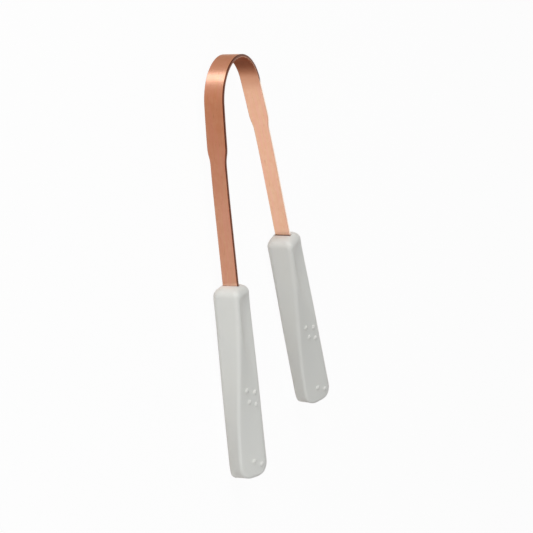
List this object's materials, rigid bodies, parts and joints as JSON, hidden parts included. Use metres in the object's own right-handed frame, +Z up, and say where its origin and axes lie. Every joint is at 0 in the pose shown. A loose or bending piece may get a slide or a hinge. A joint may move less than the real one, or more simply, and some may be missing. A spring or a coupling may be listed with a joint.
{
  "type": "tongue scraper",
  "caption": "Tongue scraper: a springy copper strip bent to a U with a broad scraping arch, and twisted white plastic handles with raised grip dots.",
  "frame": {"origin": "centre of the bounding box in X and Y, on the surface that the handles lie on", "axes": "+X across the arms toward the right handle, +Y along the scraper toward the crown of the arch, +Z up, across the strip's width"},
  "size_m": [0.0762, 0.1514, 0.013],
  "materials": {
    "copper": "fine brushed copper",
    "handle_plastic": "satin white moulding"
  },
  "bodies": {
    "arch": {"scraping_arch": "copper"},
    "left_side": {"left_arm": "copper", "left_handle": "handle_plastic"},
    "right_side": {"right_arm": "copper", "right_handle": "handle_plastic"}
  },
  "joints": [
    {"name": "left_flex", "type": "hinge", "parent": "arch", "child": "left_side", "pos_m": [-0.01507, 0.06264, 0.00675], "axis": [0, 0, 1], "range_deg": [-4, 6], "stiffness_Nm_per_rad": 1.6},
    {"name": "right_flex", "type": "hinge", "parent": "arch", "child": "right_side", "pos_m": [0.01567, 0.06264, 0.00675], "axis": [0, 0, 1], "range_deg": [-6, 4], "stiffness_Nm_per_rad": 1.6}
  ],
  "couplings": [
    {"joint": "right_flex", "follows": "left_flex", "ratio": -1}
  ]
}
